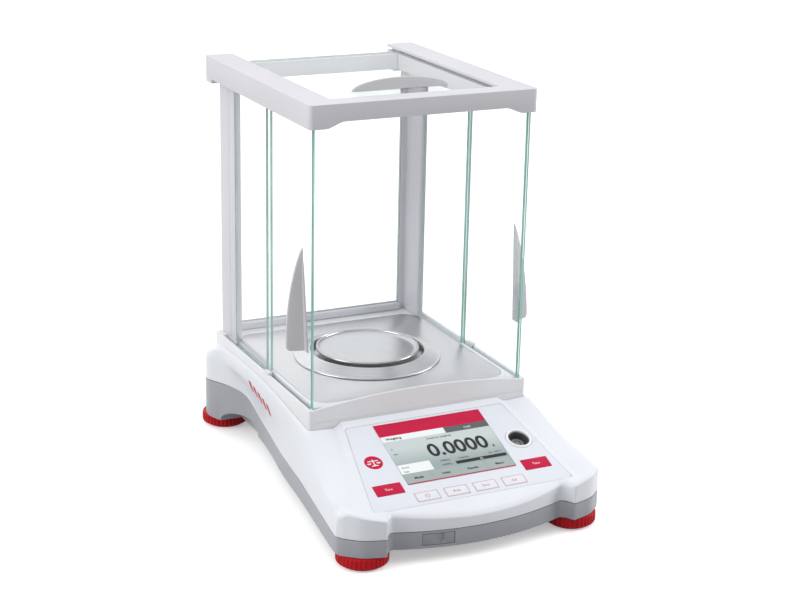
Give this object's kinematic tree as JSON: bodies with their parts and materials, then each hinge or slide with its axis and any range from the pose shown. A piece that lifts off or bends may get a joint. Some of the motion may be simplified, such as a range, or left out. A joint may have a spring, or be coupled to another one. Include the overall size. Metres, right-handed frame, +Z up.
{
  "type": "analytical balance",
  "caption": "Analytical balance with a round weighing pan inside a glass draft shield with sliding doors, and a tilted keypad and display console on levelling feet.",
  "frame": {"origin": "centre of the footprint on the ground", "axes": "+X to the user's right, +Y from the console towards the rear, +Z up"},
  "size_m": [0.235, 0.3624, 0.3467],
  "materials": {
    "white_plastic": "satin",
    "grey_plastic": "satin",
    "frame_plastic": "satin",
    "glass": "clear",
    "brushed_steel": "brushed",
    "polished_steel": "polished",
    "crimson_key": "satin",
    "red_rubber": "matte",
    "keypad_film": "matte",
    "lcd_screen": "satin",
    "display_lens": "clear",
    "level_vial": "clear",
    "cast_aluminium": "machined",
    "black_plastic": "matte",
    "brass": "machined",
    "circuit_board": "matte"
  },
  "bodies": {
    "housing": {"lower_housing": "grey_plastic", "upper_housing": "white_plastic", "chamber_base": "white_plastic", "floor_plate": "brushed_steel", "front_glass": "glass", "rear_pane_left": "glass", "rear_pane_right": "glass", "rear_post_left": "frame_plastic", "rear_post_right": "frame_plastic", "rear_bottom_bar": "frame_plastic", "rear_top_bar": "white_plastic", "rear_glass": "glass", "top_frame": "frame_plastic", "keypad_panel": "keypad_film", "display_lens": "display_lens", "lcd_module": "lcd_screen", "display_board": "circuit_board", "level_bezel": "polished_steel", "level_vial": "level_vial", "chassis_plate": "cast_aluminium", "weigh_cell": "cast_aluminium", "magnet_pot": "black_plastic", "calibration_drive": "black_plastic", "main_board": "circuit_board", "power_inlet": "black_plastic", "serial_port": "black_plastic", "usb_port": "black_plastic", "front_port_cover": "grey_plastic", "hook_hatch": "grey_plastic"},
    "side_door_left": {"door_glass_left": "glass", "door_handle_left": "frame_plastic", "door_runner_left": "white_plastic"},
    "side_door_right": {"door_glass_right": "glass", "door_handle_right": "frame_plastic", "door_runner_right": "white_plastic"},
    "top_door": {"top_door_glass": "glass", "top_door_handle": "frame_plastic"},
    "pan": {"weighing_pan": "polished_steel"},
    "ring": {"draft_ring": "brushed_steel"},
    "load_carrier": {"pan_support": "cast_aluminium", "pan_carrier": "cast_aluminium"},
    "balance_lever": {"cell_lever": "cast_aluminium", "force_coil": "brass"},
    "cal_mass": {"calibration_weight": "brass"},
    "tare_key_left_body": {"tare_key_left": "crimson_key"},
    "tare_key_right_body": {"tare_key_right": "crimson_key"},
    "power_key_body": {"power_key": "keypad_film"},
    "print_key_body": {"print_key": "keypad_film"},
    "zero_key_body": {"zero_key": "keypad_film"},
    "cal_key_body": {"cal_key": "keypad_film"},
    "stud_front_left": {"foot_stud_front_left": "brass"},
    "wheel_front_left": {"foot_wheel_front_left": "red_rubber"},
    "stud_front_right": {"foot_stud_front_right": "brass"},
    "wheel_front_right": {"foot_wheel_front_right": "red_rubber"},
    "stud_rear_left": {"foot_stud_rear_left": "brass"},
    "wheel_rear_left": {"foot_wheel_rear_left": "red_rubber"},
    "stud_rear_right": {"foot_stud_rear_right": "brass"},
    "wheel_rear_right": {"foot_wheel_rear_right": "red_rubber"}
  },
  "joints": [
    {"name": "side_door_left_slide", "type": "slide", "parent": "housing", "child": "side_door_left", "axis": [0, 1, 0], "range_m": [0, 0.098]},
    {"name": "side_door_right_slide", "type": "slide", "parent": "housing", "child": "side_door_right", "axis": [0, 1, 0], "range_m": [0, 0.098]},
    {"name": "top_door_slide", "type": "slide", "parent": "housing", "child": "top_door", "axis": [0, 1, 0], "range_m": [0, 0.12]},
    {"name": "pan_lift", "type": "slide", "parent": "load_carrier", "child": "pan", "axis": [0, 0, 1], "range_m": [0, 0.05]},
    {"name": "ring_lift", "type": "slide", "parent": "housing", "child": "ring", "axis": [0, 0, 1], "range_m": [0, 0.03]},
    {"name": "load_travel", "type": "slide", "parent": "housing", "child": "load_carrier", "axis": [0, 0, -1], "range_m": [0, 0.0004], "stiffness_N_per_m": 25000, "springref_m": -0.0001},
    {"name": "lever_tilt", "type": "hinge", "parent": "housing", "child": "balance_lever", "pos_m": [0, 0.05285, 0.037], "axis": [1, 0, 0], "range_deg": [0, 2]},
    {"name": "cal_mass_lift", "type": "slide", "parent": "housing", "child": "cal_mass", "axis": [0, 0, -1], "range_m": [0, 0.004]},
    {"name": "tare_key_left_press", "type": "slide", "parent": "housing", "child": "tare_key_left_body", "axis": [0, 0.3387, -0.9409], "range_m": [0, 0.0008], "stiffness_N_per_m": 1500, "springref_m": -0.0004},
    {"name": "tare_key_right_press", "type": "slide", "parent": "housing", "child": "tare_key_right_body", "axis": [0, 0.3387, -0.9409], "range_m": [0, 0.0008], "stiffness_N_per_m": 1500, "springref_m": -0.0004},
    {"name": "power_key_press", "type": "slide", "parent": "housing", "child": "power_key_body", "axis": [0, 0.3387, -0.9409], "range_m": [0, 0.0008], "stiffness_N_per_m": 1500, "springref_m": -0.0004},
    {"name": "print_key_press", "type": "slide", "parent": "housing", "child": "print_key_body", "axis": [0, 0.3387, -0.9409], "range_m": [0, 0.0008], "stiffness_N_per_m": 1500, "springref_m": -0.0004},
    {"name": "zero_key_press", "type": "slide", "parent": "housing", "child": "zero_key_body", "axis": [0, 0.3387, -0.9409], "range_m": [0, 0.0008], "stiffness_N_per_m": 1500, "springref_m": -0.0004},
    {"name": "cal_key_press", "type": "slide", "parent": "housing", "child": "cal_key_body", "axis": [0, 0.3387, -0.9409], "range_m": [0, 0.0008], "stiffness_N_per_m": 1500, "springref_m": -0.0004},
    {"name": "foot_front_left_extend", "type": "slide", "parent": "housing", "child": "stud_front_left", "axis": [0, 0, -1], "range_m": [0, 0.003]},
    {"name": "foot_front_left_turn", "type": "hinge", "parent": "stud_front_left", "child": "wheel_front_left", "pos_m": [-0.0932, -0.15365, 0.0068], "axis": [0, 0, -1], "range_deg": [0, 1080]},
    {"name": "foot_front_right_extend", "type": "slide", "parent": "housing", "child": "stud_front_right", "axis": [0, 0, -1], "range_m": [0, 0.003]},
    {"name": "foot_front_right_turn", "type": "hinge", "parent": "stud_front_right", "child": "wheel_front_right", "pos_m": [0.0932, -0.15365, 0.0068], "axis": [0, 0, -1], "range_deg": [0, 1080]},
    {"name": "foot_rear_left_extend", "type": "slide", "parent": "housing", "child": "stud_rear_left", "axis": [0, 0, -1], "range_m": [0, 0.003]},
    {"name": "foot_rear_left_turn", "type": "hinge", "parent": "stud_rear_left", "child": "wheel_rear_left", "pos_m": [-0.088, 0.16005, 0.0068], "axis": [0, 0, -1], "range_deg": [0, 1080]},
    {"name": "foot_rear_right_extend", "type": "slide", "parent": "housing", "child": "stud_rear_right", "axis": [0, 0, -1], "range_m": [0, 0.003]},
    {"name": "foot_rear_right_turn", "type": "hinge", "parent": "stud_rear_right", "child": "wheel_rear_right", "pos_m": [0.088, 0.16005, 0.0068], "axis": [0, 0, -1], "range_deg": [0, 1080]}
  ],
  "couplings": [
    {"joint": "lever_tilt", "follows": "load_travel", "rad_per_m": 83.333},
    {"joint": "foot_front_left_turn", "follows": "foot_front_left_extend", "rad_per_m": 6283.2},
    {"joint": "foot_front_right_turn", "follows": "foot_front_right_extend", "rad_per_m": 6283.2},
    {"joint": "foot_rear_left_turn", "follows": "foot_rear_left_extend", "rad_per_m": 6283.2},
    {"joint": "foot_rear_right_turn", "follows": "foot_rear_right_extend", "rad_per_m": 6283.2}
  ]
}
